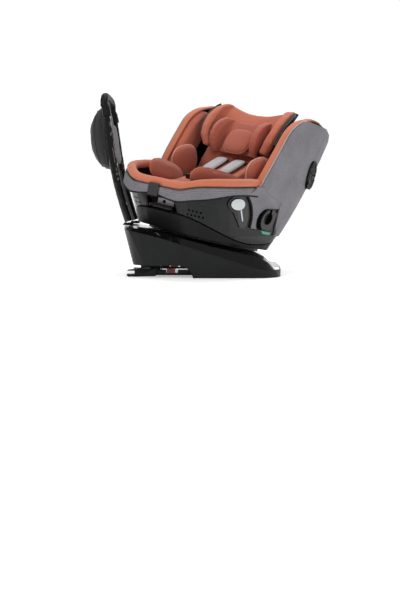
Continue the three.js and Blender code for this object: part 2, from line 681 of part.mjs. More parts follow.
function addBase() {
  mesh(carSeat, 'base_housing', baseHousing(), 'blackPlastic');
  mesh(carSeat, 'base_deck', baseDeck(), 'glossPlastic');
  mesh(tilted, 'bearing_ring', cut(drum(148, 2, DECK_LEVEL + 1), drum(118, 0, 40)), 'steel');
  SIDES.forEach(([side, s]) => {
    const collar = new THREE.CylinderGeometry(1, 1.12, 8, 24).rotateX(Math.PI / 2).scale(16, 14, 1);
    collar.translate(BAR.side[0][0], -s * BAR.footY, BAR.side[0][1] - 8.6);
    mesh(carSeat, named('rebound_socket', side), collar, 'silver');
  });
  mesh(carSeat, 'rebound_bar', barPiece(0, 1, 64, BAR.radiusX, BAR.radiusY, 0), 'glossPlastic');
  const [coverX, coverY] = [BAR.radiusX + BAR.coverWall + 1.4, BAR.radiusY + BAR.coverWall + 1.4];
  const cover = barPiece(BAR.coverEnd, 1 - BAR.coverEnd, 26, coverX, coverY, BAR.coverWall);
  mesh(carSeat, 'rebound_bar_cover', cover, 'blackPlastic');
  const pouch = pad(POUCH.top - POUCH.bottom, POUCH.half * 2, POUCH.front - POUCH.back - 8, 4);
  const bag = mesh(carSeat, 'tether_pouch', pouch, 'darkFabric');
  bag.position.set((POUCH.front + POUCH.back) / 2 - 6, 0, (POUCH.top + POUCH.bottom) / 2);
  bag.rotation.y = rad(-95);
  const wrap = mesh(carSeat, 'pouch_front_panel', pad(150, 196, 10, 6), 'darkFabric');
  wrap.position.set(-313, 0, 466);
  wrap.rotation.y = rad(-98);
}

function addAnchors() {
  SIDES.forEach(([side, s]) => {
    const y = -s * ARM.y;
    mesh(carSeat, named('anchor_arm', side), anchorArm(-s), 'blackPlastic');
    mesh(carSeat, named('anchor_latch', side), latch(-s), 'steel');
    const button = block([-119, y - 15, 12.6], [-92, y + 15, ARM.high + 3.5]);
    mesh(carSeat, named('anchor_release', side), button, 'red');
  });
  const inner = ARM.y - ARM.width / 2 - GAP;
  mesh(carSeat, 'anchor_crossbar', block([80, -inner, 7], [98, inner, 21]), 'steel');
}

function addSwivel() {
  const hub = drum(114, 4, PLATE.low + 1);
  mesh(seat, 'swivel_plate', join(drum(PLATE.radius, PLATE.low, PLATE.high), hub), 'blackPlastic');
  mesh(seat, 'recline_cradle', reclineCradle(), 'blackPlastic');
}

function addShell() {
  mesh(seat, 'lower_shell', lowerShell(), 'blackPlastic');
  mesh(seat, 'back_shell', backShell(), 'blackPlastic');
  mesh(seat, 'rim_bolster', rimBolster(), 'orangeFabric');
  mesh(seat, 'rim_skirt', rimSkirt(), 'greyFabric');
  SIDES.forEach(([side, s]) => {
    const panel = sidePanel(s);
    const ovalDrum = (radius, low, high, [wide, tall]) => drum(radius, low, high, 24).scale(wide, tall, 1);
    const hole = ovalDrum(33, -20, 20, [0.72, 1.62]).rotateX(Math.PI / 2).translate(POD.x, s * POD.y, POD.z);
    mesh(seat, named('side_panel', side), cut(panel, hole), 'greyFabric');
    mesh(seat, named('wing_pad', side), wingPad(s), 'orangeFabric');
    const pod = ovalDrum(32, -3, 8, [0.7, 1.6]).rotateX(Math.PI / 2 * -s).translate(POD.x, s * POD.y, POD.z);
    mesh(seat, named('impact_pod', side), pod, 'blackPlastic');
  });
}

function addSoftGoods() {
  const levels = [60, 88, 120, 150, 178, 205, 240, 342, 400, 518];
  const within = loft(levels.map((z) => planRing(z, RECLINE.skin + 3)));
  const inner = sidePlate([
    [PAN.step, PAN.surface - 42], [-40, PAN.surface - 42], [backAt(190) - BACK.foam - 8, 190],
    [backAt(BACK.top) - BACK.foam - 8, BACK.top], [backAt(BACK.top) - BACK.foam - 2, BACK.top],
    [backAt(186) - BACK.foam - 2, 186], [-34, PAN.surface - 36], [PAN.step, PAN.surface - 36],
  ], -BACK.half, BACK.half);
  mesh(seat, 'inner_shell', common(inner, within), 'blackPlastic');
  const foam = backrestSlab(196, BACK.top - 2, GAP, BACK.foam - 2, BACK.half - 4);
  mesh(seat, 'back_cushion', foam, 'orangeFabric');
  const pan = sidePlate([
    [-28, PAN.surface - 35], [-20, PAN.surface], [252, PAN.surface], [272, PAN.surface - 14],
    [270, PAN.surface - 22], [PAN.step + 3, PAN.surface - 22], [PAN.step, PAN.surface - 35],
  ], -PAN.half, PAN.half);
  mesh(seat, 'seat_cushion', common(pan, within), 'orangeFabric');
  mesh(seat, 'body_insert', bodyInsert(), 'orangeFabric');
  SIDES.forEach(([side, s]) => {
    const bolster = mesh(seat, named('insert_bolster', side), pad(138, 120, 40, 2.6), 'orangeFabric');
    bolster.position.set(0, s * 172, 284);
    bolster.rotation.set(rad(-90), 0, rad(BACK.lean));
    const flap = mesh(seat, named('leg_flap', side), pad(250, 84, 24, 2.6), 'orangeFabric');
    flap.position.set(140, s * 118, 224);
    flap.rotation.set(rad(s * 78), rad(-12), 0);
    const route = [-80, -50, -10, 30, 64, 92].map((x, i) => [x + 2, s * (44 - i * 5), insertTop(x) + 4]);
    mesh(seat, named('harness_strap', side), ribbon(route, 34, 2.4, [0, 1, 0], 12), 'darkFabric');
    onInsert(mesh(seat, named('harness_pad', side), pad(112, 52, 13, 4), 'paleFabric'), -26, s * 40, 13.5);
  });
  onInsert(mesh(seat, 'buckle_body', pad(52, 44, 20, 6), 'blackPlastic'), 122, 0, 24);
  onInsert(mesh(seat, 'buckle_button', block([-11, -9, -1.8], [11, 9, 1.8]), 'red'), 122, 0, 38.5);
}

/** Parts on the outside of the shell that the user's hands or the car's belt meet. */
function addControls() {
  SIDES.forEach(([side, s]) => {
    const housing = BELT_GUIDE;
    const [w, h] = [housing.width / 2, housing.height / 2];
    const outline = [
      ...steps(-90, 90, 10).map((turn) => [
        housing.x - w + 30 + (w * 2 - 30) * Math.cos(rad(turn)), housing.z + h * Math.sin(rad(turn)),
      ]),
      [housing.x - w, housing.z + h - 10], [housing.x - w, housing.z - h + 14],
    ];
    const throat = sidePlate(circle(housing.x + 2, housing.z + 6, 21), -330, 330);
    const slit = sidePlate([[housing.x - 6, housing.z + 6], [housing.x + 8, housing.z + 6],
      [housing.x + 8, 230], [housing.x - 6, 230]], -330, 330);
    mesh(seat, named('belt_guide', side), cut(bodyPatch(s, outline, GAP, 17), throat, slit), 'blackPlastic');
    const [inside, outside] = s > 0 ? [239, 245] : [-245, -239];
    const strip = sidePlate([[-52, 97], [4, 97], [-4, 88], [-44, 88]], inside, outside);
    mesh(seat, named('guide_strip', side), strip, 'green');
    const ellipse = (more) => oval(DISC.wide + more, DISC.tall + more, 24)
      .map(([u, v]) => [DISC.x + u, DISC.z + v]);
    const hole = sidePlate(ellipse(1), -330, 330);
    mesh(seat, named('release_panel', side), cut(bodyPatch(s, TEARDROP, GAP, 5), hole), 'glossPlastic');
    const disc = bodyPatch(s, ellipse(0), 4.5, 8.5);
    mesh(seat, named('swivel_release', side), disc, 'silver');
  });
  mesh(seat, 'handle_housing', block([214, -63, 98], [240, 63, 135]), 'blackPlastic');
  mesh(seat, 'label_plate', block([240.5, -36, 111], [243.5, 36, 130]), 'silver');
  mesh(seat, 'recline_handle', pad(26, 104, 12, 7).translate(254, 0, 103), 'blackPlastic');
  const hang = [[317.5, 0, 174], [318.8, 0, 164], [318.8, 0, 148], [317.5, 0, 132]];
  const tab = ribbon(hang, 46, 2.4, [0, 1, 0], 8);
  mesh(seat, 'adjuster_cover', tab, 'darkFabric');
  mesh(seat, 'adjuster_button', block([240, -11, PAN.surface + 4], [258, 11, PAN.surface + 8]), 'silver');
}

function addHead() {
  mesh(seat, 'headrest_shell', headShell(), 'blackPlastic');
  mesh(seat, 'headrest_pad', headPad(), 'orangeFabric');
  mesh(seat, 'head_insert', headInsert(), 'orangeFabric');
  const pillow = mesh(seat, 'head_pillow', pad(104, 118, 30, 2.8), 'orangeFabric');
  onBackrest(pillow, 372, 0, HEAD.proud + 50);
  const lever = mesh(seat, 'headrest_lever', pad(22, 84, 12, 5), 'blackPlastic');
  lever.position.set(-191, 0, 506);
}

addBase();
addAnchors();
addSwivel();
addShell();
addSoftGoods();
addControls();
addHead();

export default carSeat;
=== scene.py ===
"""Looks of a convertible child car seat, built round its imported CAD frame.

Blender works in metres in the row frame. Places on the seat are given in millimetres in the seat's own
frame (x forwards, y to the seat's right, z up the swivel axis) and turned into metres by SEAT.
"""

import json
import math

import bmesh
import bpy
from mathutils import Matrix, Vector
from mathutils.bvhtree import BVHTree
from mathutils.noise import noise as noise_at


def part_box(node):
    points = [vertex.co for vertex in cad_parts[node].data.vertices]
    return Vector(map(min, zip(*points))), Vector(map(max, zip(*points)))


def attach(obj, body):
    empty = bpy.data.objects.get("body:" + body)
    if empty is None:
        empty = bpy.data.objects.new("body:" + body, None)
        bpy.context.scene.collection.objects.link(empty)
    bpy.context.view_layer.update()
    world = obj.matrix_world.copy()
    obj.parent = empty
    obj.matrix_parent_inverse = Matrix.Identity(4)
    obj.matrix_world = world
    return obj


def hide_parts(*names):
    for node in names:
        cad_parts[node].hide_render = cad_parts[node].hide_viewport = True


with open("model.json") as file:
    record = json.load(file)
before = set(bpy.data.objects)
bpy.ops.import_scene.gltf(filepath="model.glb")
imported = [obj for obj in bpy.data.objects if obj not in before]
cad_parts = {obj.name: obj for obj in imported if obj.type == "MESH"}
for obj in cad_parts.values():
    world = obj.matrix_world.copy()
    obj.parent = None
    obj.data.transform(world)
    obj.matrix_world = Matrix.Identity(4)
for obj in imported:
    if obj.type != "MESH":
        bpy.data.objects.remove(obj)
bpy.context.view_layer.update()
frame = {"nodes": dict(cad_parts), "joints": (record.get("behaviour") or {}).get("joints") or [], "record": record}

# ---------------------------------------------------------------- driving dimensions (mm, degrees)
MM = 0.001
SIDES = (("near", 1), ("far", -1))
SEAT_TURN = 51
BODY_FRONT = ((31, 214), (60, 230), (88, 246), (120, 268), (150, 291), (178, 302), (240, 305))
BODY_REAR = (
    (31, -194), (76, -203), (211, -247), (340, -292),
    (460, -334), (490, -340), (508, -322), (518, -285),
)
BODY_HALF = ((31, 203), (80, 214), (130, 222), (178, 229), (240, 236), (330, 242), (460, 243), (518, 238))
CORNER_FRONT = ((31, 130), (100, 140), (178, 152))
CORNER_REAR = ((31, 115), (120, 95), (340, 88), (518, 84))
WING_EDGE = (
    (180, 80), (211, 68), (280, 44), (342, 18), (400, -8),
    (440, -27), (470, -52), (495, -88), (510, -128), (518, -170),
)
RIM_HEIGHT = ((40, 251), (110, 243), (175, 231), (228, 219), (266, 207), (285, 195), (296, 180))
RIM_INSET = 7
RIM_START = 66
SKIRT_DROP = ((0, -40), (0.3, -38), (0.55, -54), (0.8, -48), (1, -36))
BACK = {"lean": 22, "x": -95, "z": 297}
INSERT_TOP = ((-88, 322), (-56, 304), (0, 268), (60, 234), (120, 208), (170, 196), (216, 188))
HEAD_HALF = ((352, 146), (400, 164), (470, 172), (520, 170), (548, 158))
HEAD_EDGE = ((352, -46), (400, -36), (440, -44), (480, -64), (515, -96), (536, -126), (546, -148))
DISC = {"x": 152, "z": 166, "wide": 33, "tall": 19}
POD = {"x": -212, "y": 247, "z": 330, "wide": 17, "tall": 40}
GUIDE = {"x": -24, "z": 142, "radius": 21.5}
CREASE = {"height": 90.5, "slope": -0.3154, "toe": 26}

swivel = next(j for j in frame["joints"] if j["name"] == "seat_swivel")
tilt = math.atan2(swivel["axis"][0], swivel["axis"][2])
SEAT = (
    Matrix.Translation(swivel["pos_m"])
    @ Matrix.Rotation(tilt, 4, "Y")
    @ Matrix.Rotation(math.radians(180 + SEAT_TURN), 4, "Z")
    @ Matrix.Scale(MM, 4)
)
ROW = Matrix.Scale(MM, 4)
CLOTH_PRESSURE, CLOTH_FRAMES = 4.0, 20
CAMERA = {"place": (0.0108, -3.0, 0.252), "lens": 49.98, "shift": (-0.0083, -0.1617)}


# ---------------------------------------------------------------- curves of the CAD shape
def along(table, key):
    """Smooth curve through (key, value) pairs, flat beyond both ends."""
    if key <= table[0][0]:
        return table[0][1]
    if key >= table[-1][0]:
        return table[-1][1]
    i = next(k for k, pair in enumerate(table) if pair[0] > key) - 1

    def slope(k):
        a, b = table[max(k - 1, 0)], table[min(k + 1, len(table) - 1)]
        return (b[1] - a[1]) / (b[0] - a[0])

    (x0, y0), (x1, y1) = table[i], table[i + 1]
    w = x1 - x0
    t = (key - x0) / w
    t2, t3 = t * t, t * t * t
    start = (2 * t3 - 3 * t2 + 1) * y0 + (t3 - 2 * t2 + t) * w * slope(i)
    return start + (3 * t2 - 2 * t3) * y1 + (t3 - t2) * w * slope(i + 1)


def steps(a, b, count):
    return [a + (b - a) * i / count for i in range(count + 1)]


def body_y(x, z, out=0.0):
    """Half-width of the swivelling body at a place seen from the side."""
    front, rear = along(BODY_FRONT, z) + out, along(BODY_REAR, z) - out
    half = along(BODY_HALF, z) + out
    ahead, behind = along(CORNER_FRONT, z) + out, along(CORNER_REAR, z) + out
    if x > front - ahead:
        return half - ahead + math.sqrt(max(ahead**2 - (x - front + ahead) ** 2, 0))
    if x < rear + behind:
        return half - behind + math.sqrt(max(behind**2 - (rear + behind - x) ** 2, 0))
    return half


def on_body(s, x, z, out):
    return (x, s * body_y(x, z, out), z)


def rim_line(out, up, count=120):
    """Line round the seat pan's rim, from one wing round the front to the other."""
    height = 200
    front = along(BODY_FRONT, height) - RIM_INSET
    half = along(BODY_HALF, height) - RIM_INSET
    radius = along(CORNER_FRONT, height) - RIM_INSET
    quarter = [
        (front - radius + radius * math.cos(a), half - radius + radius * math.sin(a))
        for a in (math.radians(t) for t in steps(90, 0, 24))
    ]
    near = [(x, half) for x in steps(RIM_START, front - radius, 6)[:-1]] + quarter + [(front, 0)]
    plan = near + [(x, -y) for x, y in reversed(near[:-1])]
    dense = resample([Vector((x, y, 0)) for x, y in plan], count)
    line = []
    for i, p in enumerate(dense):
        ahead, behind = dense[min(i + 1, count)], dense[max(i - 1, 0)]
        run = (ahead - behind).normalized()
        normal = Vector((-run.y, run.x, 0))
        if normal.dot(Vector((p.x - 60, p.y, 0))) < 0:
            normal = -normal
        rise = up(i / count) if callable(up) else up
        line.append(p + normal * out + Vector((0, 0, along(RIM_HEIGHT, p.x) + rise)))
    return line


def skirt_drop(t):
    return along(SKIRT_DROP, min(t, 1 - t) * 2)


def back_at(z):
    return BACK["x"] - (z - BACK["z"]) * math.tan(math.radians(BACK["lean"]))


def resample(points, count):
    """The same line with count equal steps."""
    points = [Vector(p) for p in points]
    runs = [0.0]
    for a, b in zip(points, points[1:]):
        runs.append(runs[-1] + (b - a).length)
    out, k = [], 0
    for s in steps(0, runs[-1], count):
        while k < len(points) - 2 and runs[k + 1] < s:
            k += 1
        span = max(runs[k + 1] - runs[k], 1e-9)
        out.append(points[k].lerp(points[k + 1], min(max((s - runs[k]) / span, 0), 1)))
    return out


def rounded(points, count=40, rounds=3):
    """A soft line through given points: resampled, then its corners relaxed."""
    line = resample(points, count)
    for _ in range(rounds):
        line = [line[0]] + [(a + b * 2 + c) / 4 for a, b, c in zip(line, line[1:], line[2:])] + [line[-1]]
    return line


# ---------------------------------------------------------------- materials
def link(tree, source, target):
    tree.links.new(source, target)


def node(tree, kind, **values):
    made = tree.nodes.new(kind)
    for key, value in values.items():
        if hasattr(made, key):
            setattr(made, key, value)
        else:
            made.inputs[key.replace("_", " ")].default_value = value
    return made


def ramp(tree, source, low, high, first, last):
    """A ramp between two colours, as the source goes from low to high."""
    made = tree.nodes.new("ShaderNodeValToRGB")
    made.color_ramp.elements[0].position = low
    made.color_ramp.elements[1].position = high
    made.color_ramp.elements[0].color = (*first, 1)
    made.color_ramp.elements[1].color = (*last, 1)
    link(tree, source, made.inputs["Fac"])
    return made.outputs["Color"]


def shade_of(colour, factor):
    return tuple(min(c * factor, 1) for c in colour)


def start_material(name):
    made = bpy.data.materials.new(name)
    made.use_nodes = True
    tree = made.node_tree
    coordinates = tree.nodes.new("ShaderNodeTexCoord").outputs["Object"]
    return made, tree, tree.nodes["Principled BSDF"], coordinates


def noise(tree, where, scale, detail=2.0):
    made = node(tree, "ShaderNodeTexNoise", Scale=scale, Detail=detail)
    link(tree, where, made.inputs["Vector"])
    return made.outputs["Fac"]


def math_node(tree, operation, a, b):
    made = tree.nodes.new("ShaderNodeMath")
    made.operation = operation
    for socket, value in zip(made.inputs, (a, b)):
        if isinstance(value, (int, float)):
            socket.default_value = value
        else:
            link(tree, value, socket)
    return made.outputs[0]


def bump(tree, height, strength, distance, shader):
    made = node(tree, "ShaderNodeBump", Strength=strength, Distance=distance)
    link(tree, height, made.inputs["Height"])
    link(tree, made.outputs["Normal"], shader.inputs["Normal"])


def fabric(name, colour, mottle=0.12, grain=520.0, thread=1.9, rough=0.86, sheen=0.25, relief=0.3):
    """Woven cloth: two crossing sets of threads, heathered yarn and slow shade changes."""
    made, tree, shader, where = start_material(name)
    yarn = noise(tree, where, grain, 3.0)
    patch = noise(tree, where, 14.0, 2.0)
    fine, slow = math_node(tree, "MULTIPLY", yarn, 0.75), math_node(tree, "MULTIPLY", patch, 0.25)
    mixed = math_node(tree, "ADD", fine, slow)
    tone = ramp(tree, mixed, 0.36, 0.64, shade_of(colour, 1 - mottle), shade_of(colour, 1 + mottle))
    link(tree, tone, shader.inputs["Base Color"])
    weave = None
    for turn in ((0.0, 0.0, 45.0), (0.0, 45.0, -45.0)):
        mapping = node(tree, "ShaderNodeMapping")
        mapping.inputs["Rotation"].default_value = [math.radians(a) for a in turn]
        link(tree, where, mapping.inputs["Vector"])
        wave = node(tree, "ShaderNodeTexWave", Scale=314.0 / thread, Distortion=1.2)
        wave.inputs["Detail Scale"].default_value = 3.0
        link(tree, mapping.outputs["Vector"], wave.inputs["Vector"])
        threads = wave.outputs["Fac"]
        weave = threads if weave is None else math_node(tree, "MULTIPLY", weave, threads)
    bump(tree, math_node(tree, "ADD", weave, math_node(tree, "MULTIPLY", yarn, 0.5)), relief, 0.0007, shader)
    shader.inputs["Roughness"].default_value = rough
    shader.inputs["Sheen Weight"].default_value = sheen
    shader.inputs["Sheen Roughness"].default_value = 0.5
    return made


def plastic(name, colour, rough=0.4, grain=900.0, relief=0.12, metal=0.0, coat=0.0, wear=1.35, shine=0.5):
    """Moulded plastic or plated metal: fine grain, uneven gloss and edges polished by use."""
    made, tree, shader, where = start_material(name)
    edge = tree.nodes.new("ShaderNodeNewGeometry").outputs["Pointiness"]
    worn = ramp(tree, edge, 0.51, 0.6, (0, 0, 0), (1, 1, 1))
    tone = ramp(tree, noise(tree, where, 9.0), 0.3, 0.7, shade_of(colour, 0.9), shade_of(colour, 1.1))
    mixed = node(tree, "ShaderNodeMix", data_type="RGBA")
    link(tree, worn, mixed.inputs["Factor"])
    link(tree, tone, mixed.inputs[6])
    mixed.inputs[7].default_value = (*shade_of(colour, wear), 1)
    link(tree, mixed.outputs[2], shader.inputs["Base Color"])
    smoothest, roughest = (rough * 0.85,) * 3, (min(rough * 1.18, 1),) * 3
    gloss = ramp(tree, noise(tree, where, 22.0, 4.0), 0.3, 0.7, smoothest, roughest)
    link(tree, gloss, shader.inputs["Roughness"])
    bump(tree, noise(tree, where, grain, 2.0), relief, 0.0003, shader)
    shader.inputs["Metallic"].default_value = metal
    shader.inputs["Specular IOR Level"].default_value = shine
    shader.inputs["Coat Weight"].default_value = coat
    shader.inputs["Coat Roughness"].default_value = 0.12
    return made


LOOKS = {
    "orange": (fabric("terracotta_cloth", (0.5, 0.135, 0.075), 0.09, 620.0), "orange_fabric"),
    "rim": (fabric("terracotta_smooth_cloth", (0.54, 0.15, 0.072), 0.07, 700.0, relief=0.2), "orange_fabric"),
    # painted shade: a darker copy of the terracotta cloth for the inner cushions, pads and flaps
    "painted_shade_orange": (fabric("terracotta_shaded_cloth", (0.4, 0.098, 0.056), 0.09, 620.0), "orange_fabric"),
    "piping": (fabric("pale_piping_cloth", (0.72, 0.36, 0.25), 0.06, 800.0, 1.4), "orange_fabric"),
    "grey": (
        fabric("heather_grey_cloth", (0.165, 0.158, 0.176), 0.34, 460.0, 2.1, sheen=0.15),
        "grey_fabric",
    ),
    "grey_piping": (fabric("light_grey_piping_cloth", (0.36, 0.34, 0.34), 0.15, 600.0), "grey_fabric"),
    "thread": (fabric("light_thread", (0.3, 0.29, 0.32), 0.1, 900.0, 1.0), "grey_fabric"),
    "pale": (fabric("brushed_grey_cloth", (0.42, 0.42, 0.44), 0.16, 380.0, 2.2, 0.95, 0.5), "pale_fabric"),
    "black_cloth": (
        fabric("black_nylon_cloth", (0.016, 0.016, 0.018), 0.3, 500.0, 2.0, 0.7, 0.08),
        "black_webbing",
    ),
    "ribbed": (fabric("dark_ribbed_cloth", (0.06, 0.055, 0.056), 0.25, 300.0), "black_webbing"),
    "webbing": (
        fabric("black_webbing_cloth", (0.013, 0.013, 0.015), 0.3, 400.0, 3.0, 0.55, 0.05, 0.5),
        "black_webbing",
    ),
    "shell": (
        plastic("grained_black_plastic", (0.011, 0.0115, 0.012), 0.24, 1200.0, 0.06, shine=0.2),
        "black_plastic",
    ),
    "matte": (
        plastic("matte_black_plastic", (0.007, 0.007, 0.0075), 0.45, 1000.0, 0.2, shine=0.14),
        "black_plastic",
    ),
    "base": (
        plastic("satin_black_plastic", (0.008, 0.0085, 0.009), 0.3, 1100.0, 0.08, shine=0.16),
        "black_plastic",
    ),
    "gloss": (
        plastic("polished_black_plastic", (0.004, 0.004, 0.0045), 0.12, 500.0, 0.02, coat=0.12, shine=0.3),
        "gloss_black",
    ),
    "silver": (plastic("silver_grey_plastic", (0.5, 0.53, 0.54), 0.36, 1400.0, 0.05), "silver_plastic"),
    "steel": (plastic("zinc_plated_steel", (0.42, 0.43, 0.45), 0.3, 700.0, 0.08, 1.0, wear=1.2), "steel"),
    "green": (plastic("green_marker_plastic", (0.05, 0.3, 0.19), 0.35), "green_plastic"),
    "red": (plastic("dark_red_plastic", (0.2, 0.016, 0.03), 0.35), "red_plastic"),
}


# ---------------------------------------------------------------- mesh tools
def dress(piece, look, body=None, replaced=()):
    """Gives a finished piece its material and its body, and hides the CAD nodes that it stands for."""
    material, slot = LOOKS[look]
    piece.data.materials.clear()
    piece.data.materials.append(material)
    if body:
        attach(piece, body)
    if replaced:
        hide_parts(*replaced)
    return piece


def make(name, vertices, faces, smooth=True):
    data = bpy.data.meshes.new(name)
    data.from_pydata([tuple(v) for v in vertices], [], faces)
    data.validate()
    bm = bmesh.new()
    bm.from_mesh(data)
    bmesh.ops.recalc_face_normals(bm, faces=bm.faces)
    bm.to_mesh(data)
    bm.free()
    data.polygons.foreach_set("use_smooth", [smooth] * len(data.polygons))
    piece = bpy.data.objects.new(name, data)
    bpy.context.scene.collection.objects.link(piece)
    return piece


def applied(piece):
    """Turns a piece's modifiers into plain mesh."""
    bpy.context.view_layer.update()
    shown = piece.evaluated_get(bpy.context.evaluated_depsgraph_get())
    data = bpy.data.meshes.new_from_object(shown)
    data.name = piece.name
    piece.modifiers.clear()
    piece.data = data
    return piece


def copy_of(cad_node, name):
    data = frame["nodes"][cad_node].data
    return make(name, [v.co for v in data.vertices], [tuple(p.vertices) for p in data.polygons], False)


def sharpen(piece, degrees):
    """Smooth shading that keeps the edges sharper than an angle."""
    bm = bmesh.new()
    bm.from_mesh(piece.data)
    for face in bm.faces:
        face.smooth = True
    for edge in bm.edges:
        edge.smooth = not (len(edge.link_faces) == 2 and edge.calc_face_angle(0) > math.radians(degrees))
    bm.to_mesh(piece.data)
    bm.free()


def hard(cad_node, look, degrees=32, bevel=0.0, levels=0):
    """Hard part: the CAD's own shape with rounded edges, or with its lofted faces subdivided."""
    piece = copy_of(cad_node, cad_node + "_finish")
    bm = bmesh.new()
    bm.from_mesh(piece.data)
    bmesh.ops.remove_doubles(bm, verts=bm.verts, dist=2e-6)
    if levels:
        bmesh.ops.join_triangles(
            bm, faces=bm.faces, angle_face_threshold=0.7, angle_shape_threshold=1.2, cmp_seam=False
        )
        crease = bm.edges.layers.float.get("crease_edge") or bm.edges.layers.float.new("crease_edge")
        for edge in bm.edges:
            if len(edge.link_faces) == 2 and edge.calc_face_angle(0) > math.radians(degrees + 6):
                edge[crease] = 0.85
    elif bevel:
        bmesh.ops.dissolve_limit(bm, angle_limit=math.radians(0.6), verts=bm.verts, edges=bm.edges)
    bm.to_mesh(piece.data)
    bm.free()
    if levels:
        subdivision = piece.modifiers.new("subdivision", "SUBSURF")
        subdivision.levels = subdivision.render_levels = levels
        applied(piece)
    elif bevel:
        rounding = piece.modifiers.new("rounding", "BEVEL")
        rounding.width, rounding.segments = bevel * MM, 2
        rounding.limit_method, rounding.angle_limit = "ANGLE", math.radians(degrees)
        applied(piece)
    sharpen(piece, degrees)
    return dress(piece, look, BODY_OF[cad_node], (cad_node,))


def ring_faces(rings, sides, count):
    """Quads between neighbouring rings of points, the last ring joining the first when it is the same one."""
    faces = []
    for r in range(rings):
        here, there = r * sides, (r + 1) % count * sides
        for k in range(sides):
            j = (k + 1) % sides
            faces.append((here + k, here + j, there + j, there + k))
    return faces


def sweep(name, line, section, closed=False, place=ROW, up=None):
    """Sweeps a closed section, given as (across, up) in mm, along a line."""
    line = [Vector(p) for p in line]
    count, sides = len(line), len(section)
    guide = Vector(up) if up else None
    vertices, side = [], None
    for i, p in enumerate(line):
        ahead = line[(i + 1) % count] if closed else line[min(i + 1, count - 1)]
        behind = line[i - 1] if closed or i else line[0]
        run = (ahead - behind).normalized()
        if guide:
            side = run.cross(guide).normalized()
        elif side is None:
            side = run.orthogonal().normalized()
        else:
            side = (side - run * side.dot(run)).normalized()
        lift = side.cross(run).normalized()
        vertices += [place @ (p + side * u + lift * v) for u, v in section]
    rings = count if closed else count - 1
    faces = ring_faces(rings, sides, count)
    if not closed:
        faces += [tuple(range(sides)), tuple((count - 1) * sides + k for k in range(sides))]
    return make(name, vertices, faces)


def round_section(radius, sides=10):
    return [
        (radius * math.cos(2 * math.pi * k / sides), radius * math.sin(2 * math.pi * k / sides))
        for k in range(sides)
    ]


def bar_section(width, thick, sides=16, power=5):
    """Flat rounded section for webbing, trims and straps."""
    def pull(value, half):
        return math.copysign(abs(value) ** (2 / power) * half, value)

    return [
        (pull(math.cos(turn), width / 2), pull(math.sin(turn), thick / 2))
        for turn in (2 * math.pi * k / sides for k in range(sides))
    ]


def tube(name, line, radius, look, body, closed=False, place=ROW):
    return dress(sweep(name, line, round_section(radius), closed, place), look, body)


def stitches(name, line, pitch, length, radius, look, body, place):
    """A row of raised thread stitches along a line."""
    whole = resample(line, max(int(length_of(line) / pitch), 2))
    vertices, faces = [], []
    for a, b in zip(whole, whole[1:]):
        run = (b - a).normalized()
        side = run.orthogonal().normalized()
        lift = side.cross(run)
        middle = (a + b) / 2
        first = len(vertices)
        for share, size in ((-0.5, 0.35), (-0.3, 1.0), (0.3, 1.0), (0.5, 0.35)):
            for k in range(6):
                turn = math.pi * k / 3
                around = side * math.cos(turn) + lift * math.sin(turn)
                vertices.append(place @ (middle + run * length * share + around * radius * size))
        for r in range(3):
            for k in range(6):
                j = (k + 1) % 6
                here, there = first + r * 6, first + (r + 1) * 6
                faces.append((here + k, here + j, there + j, there + k))
        faces += [tuple(first + k for k in range(6)), tuple(first + 18 + k for k in range(6))]
    return dress(make(name, vertices, faces), look, body)


def length_of(line):
    return sum((Vector(b) - Vector(a)).length for a, b in zip(line, line[1:]))


def snapped(line, piece, place, out=0.0):
    """Moves a line onto a piece's surface, and out from it."""
    corners = [v.co[:] for v in piece.data.vertices]
    tree = BVHTree.FromPolygons(corners, [p.vertices[:] for p in piece.data.polygons])
    back = place.inverted()
    result = []
    for p in line:
        spot, normal, _, _ = tree.find_nearest(place @ Vector(p))
        result.append(back @ (spot + normal * out * MM))
    return result


BODY_OF = {n: body for body, members in frame["record"]["behaviour"]["bodies"].items() for n in members}


# ---------------------------------------------------------------- soft pieces
def turned(x=0.0, y=0.0, z=0.0):
    made = Matrix.Identity(4)
    for axis, angle in (("X", x), ("Y", y), ("Z", z)):
        made = made @ Matrix.Rotation(math.radians(angle), 4, axis)
    return made


def on_insert(x, y, over):
    slope = math.atan2(along(INSERT_TOP, x - 10) - along(INSERT_TOP, x + 10), 20)
    place = Matrix.Translation((x + over * math.sin(slope), y, along(INSERT_TOP, x) + over * math.cos(slope)))
    return SEAT @ place @ Matrix.Rotation(slope, 4, "Y")


def pad_places():
    """Each padded block's place, size and how square its outline is."""
    lean = math.radians(BACK["lean"])
    places = {}
    for side, s in SIDES:
        bolster = Matrix.Translation((0, s * 172, 284)) @ turned(x=-90, z=BACK["lean"])
        places["insert_bolster_" + side] = (SEAT @ bolster, 138, 120, 40, 2.6)
        flap = Matrix.Translation((140, s * 118, 224)) @ turned(x=s * 78, y=-12)
        places["leg_flap_" + side] = (SEAT @ flap, 250, 84, 24, 2.6)
        places["harness_pad_" + side] = (on_insert(-26, s * 40, 13.5), 112, 52, 13, 4)
    height, proud = 372, 58
    ahead, above = proud * math.cos(lean), proud * math.sin(lean)
    pillow = Matrix.Translation((back_at(height) + ahead, 0, height + above))
    places["head_pillow"] = (SEAT @ pillow @ turned(y=248), 104, 118, 30, 2.8)
    places["tether_pouch"] = (ROW @ Matrix.Translation((-357, 0, 483)) @ turned(y=-95), 234, 208, 70, 4)
    places["pouch_front_panel"] = (ROW @ Matrix.Translation((-313, 0, 466)) @ turned(y=-98), 150, 196, 10, 6)
    return places


PADS = pad_places()


